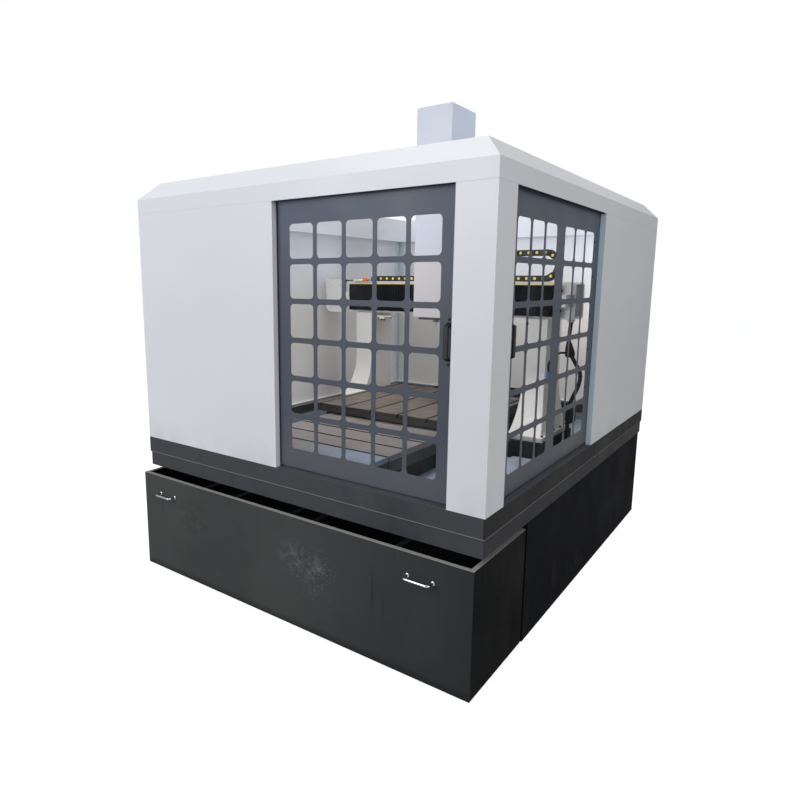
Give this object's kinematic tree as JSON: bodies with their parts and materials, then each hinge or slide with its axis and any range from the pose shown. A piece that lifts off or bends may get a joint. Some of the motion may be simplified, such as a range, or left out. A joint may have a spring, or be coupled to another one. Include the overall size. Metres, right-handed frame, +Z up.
{
  "type": "cnc machining center",
  "caption": "Enclosed gantry machining centre: table on covered ways, cross beam with spindle carriage, sliding windowed doors and a chip drawer.",
  "frame": {"origin": "on the floor, under the centre of the whole machine's footprint with the drawer handles", "axes": "+X to the right seen from the front, +Y from the front to the rear, +Z up"},
  "size_m": [2.021, 2.6158, 2.56],
  "materials": {
    "panel_white": "satin off-white paint, a little dusty",
    "band_grey": "satin dark grey paint",
    "door_slate": "satin slate grey paint",
    "clear_pane": "clear sheet, lightly soiled",
    "handle_black": "matt black",
    "glide_white": "plain nylon",
    "bright_chrome": "polished",
    "ground_steel": "ground and lightly oiled",
    "pan_grey": "satin grey paint, dusty",
    "cast_black": "black paint, scuffed",
    "frame_cream": "satin cream paint",
    "table_iron": "machined, worn and stained",
    "cover_steel": "brushed, wiped with oil",
    "bellows_black": "matt coated fabric",
    "chain_black": "matt",
    "motor_black": "matt black paint",
    "conduit_black": "ribbed, matt",
    "head_white": "satin bluish white paint",
    "spindle_grey": "turned"
  },
  "bodies": {
    "frame": {"upper_band": "band_grey", "lower_band": "band_grey", "skirt_right": "band_grey", "skirt_left": "band_grey", "skirt_rear": "band_grey", "front_left_panel": "panel_white", "right_panel": "panel_white", "left_panel": "panel_white", "rear_panel": "panel_white", "corner_post": "panel_white", "roof_ring": "panel_white", "chip_pan": "pan_grey", "bed": "cast_black", "bed_feet": "cast_black", "column_right": "frame_cream", "column_left": "frame_cream", "beam": "frame_cream", "x_rails": "ground_steel", "x_motor": "motor_black", "x_motor_cover": "frame_cream", "x_bellows_left": "bellows_black", "x_bellows_right": "bellows_black", "door_top_tracks": "band_grey", "y_rails": "ground_steel", "y_motor": "motor_black", "rear_way_bellows": "bellows_black", "drag_chain_upper": "chain_black", "drag_chain_lower": "chain_black", "conduit": "conduit_black", "way_cover_1": "cover_steel"},
    "front_door": {"front_door_leaf": "door_slate", "front_door_pane": "clear_pane", "front_door_handle": "handle_black", "front_door_glides": "glide_white"},
    "side_door": {"side_door_leaf": "door_slate", "side_door_pane": "clear_pane", "side_door_handle": "handle_black", "side_door_glides": "glide_white"},
    "drawer": {"drawer_tray": "band_grey", "drawer_grating": "band_grey", "drawer_handle_left": "bright_chrome", "drawer_handle_right": "bright_chrome"},
    "drawer_wheels_front": {"drawer_axle_front": "ground_steel"},
    "drawer_wheels_rear": {"drawer_axle_rear": "ground_steel"},
    "table": {"table": "table_iron", "table_carrier": "table_iron", "way_cover_4": "cover_steel"},
    "way_cover_2": {"way_cover_2": "cover_steel"},
    "way_cover_3": {"way_cover_3": "cover_steel"},
    "y_screw": {"y_screw": "ground_steel"},
    "x_carriage": {"x_saddle": "frame_cream", "z_housing": "head_white", "z_rails": "ground_steel", "z_motor": "motor_black"},
    "x_screw": {"x_screw": "ground_steel"},
    "z_head": {"z_slide": "motor_black", "spindle_body": "spindle_grey"},
    "z_screw": {"z_screw": "ground_steel"},
    "spindle": {"spindle_shaft": "ground_steel", "cutter": "ground_steel"}
  },
  "joints": [
    {"name": "front_door_slide", "type": "slide", "parent": "frame", "child": "front_door", "axis": [-1, 0, 0], "range_m": [0, 0.83]},
    {"name": "side_door_slide", "type": "slide", "parent": "frame", "child": "side_door", "axis": [0, 1, 0], "range_m": [0, 1.08]},
    {"name": "drawer_slide", "type": "slide", "parent": "frame", "child": "drawer", "axis": [0, -1, 0], "range_m": [0, 0.42]},
    {"name": "drawer_wheels_front_spin", "type": "hinge", "parent": "drawer", "child": "drawer_wheels_front", "pos_m": [0, -1.174, 0.028], "axis": [1, 0, 0], "continuous": true},
    {"name": "drawer_wheels_rear_spin", "type": "hinge", "parent": "drawer", "child": "drawer_wheels_rear", "pos_m": [0, -0.844, 0.028], "axis": [1, 0, 0], "continuous": true},
    {"name": "table_slide", "type": "slide", "parent": "frame", "child": "table", "axis": [0, 1, 0], "range_m": [-0.45, 0.45], "deforming": ["rear_way_bellows"]},
    {"name": "way_cover_2_slide", "type": "slide", "parent": "frame", "child": "way_cover_2", "axis": [0, 1, 0], "range_m": [-0.1501, 0.1501]},
    {"name": "way_cover_3_slide", "type": "slide", "parent": "frame", "child": "way_cover_3", "axis": [0, 1, 0], "range_m": [-0.3001, 0.3001]},
    {"name": "y_screw_spin", "type": "hinge", "parent": "frame", "child": "y_screw", "pos_m": [0, 0.071, 0.69], "axis": [0, 1, 0], "continuous": true},
    {"name": "x_slide", "type": "slide", "parent": "frame", "child": "x_carriage", "axis": [1, 0, 0], "range_m": [-0.42, 0.28], "deforming": ["x_bellows_left", "x_bellows_right", "drag_chain_upper", "drag_chain_lower"]},
    {"name": "x_screw_spin", "type": "hinge", "parent": "frame", "child": "x_screw", "pos_m": [0, 0.316, 1.48], "axis": [1, 0, 0], "continuous": true},
    {"name": "z_slide", "type": "slide", "parent": "x_carriage", "child": "z_head", "axis": [0, 0, 1], "range_m": [-0.3, 0]},
    {"name": "z_screw_spin", "type": "hinge", "parent": "x_carriage", "child": "z_screw", "pos_m": [0.072, 0.243, 1.8], "axis": [0, 0, 1], "continuous": true},
    {"name": "spindle_spin", "type": "hinge", "parent": "z_head", "child": "spindle", "pos_m": [0.072, 0.066, 1.362], "axis": [0, 0, 1], "continuous": true}
  ],
  "couplings": [
    {"joint": "drawer_wheels_front_spin", "follows": "drawer_slide", "rad_per_m": 35.714},
    {"joint": "drawer_wheels_rear_spin", "follows": "drawer_slide", "rad_per_m": 35.714},
    {"joint": "way_cover_2_slide", "follows": "table_slide", "ratio": 0.33333},
    {"joint": "way_cover_3_slide", "follows": "table_slide", "ratio": 0.66667},
    {"joint": "y_screw_spin", "follows": "table_slide", "rad_per_m": -628.32},
    {"joint": "x_screw_spin", "follows": "x_slide", "rad_per_m": -628.32},
    {"joint": "z_screw_spin", "follows": "z_slide", "rad_per_m": -1256.6}
  ]
}
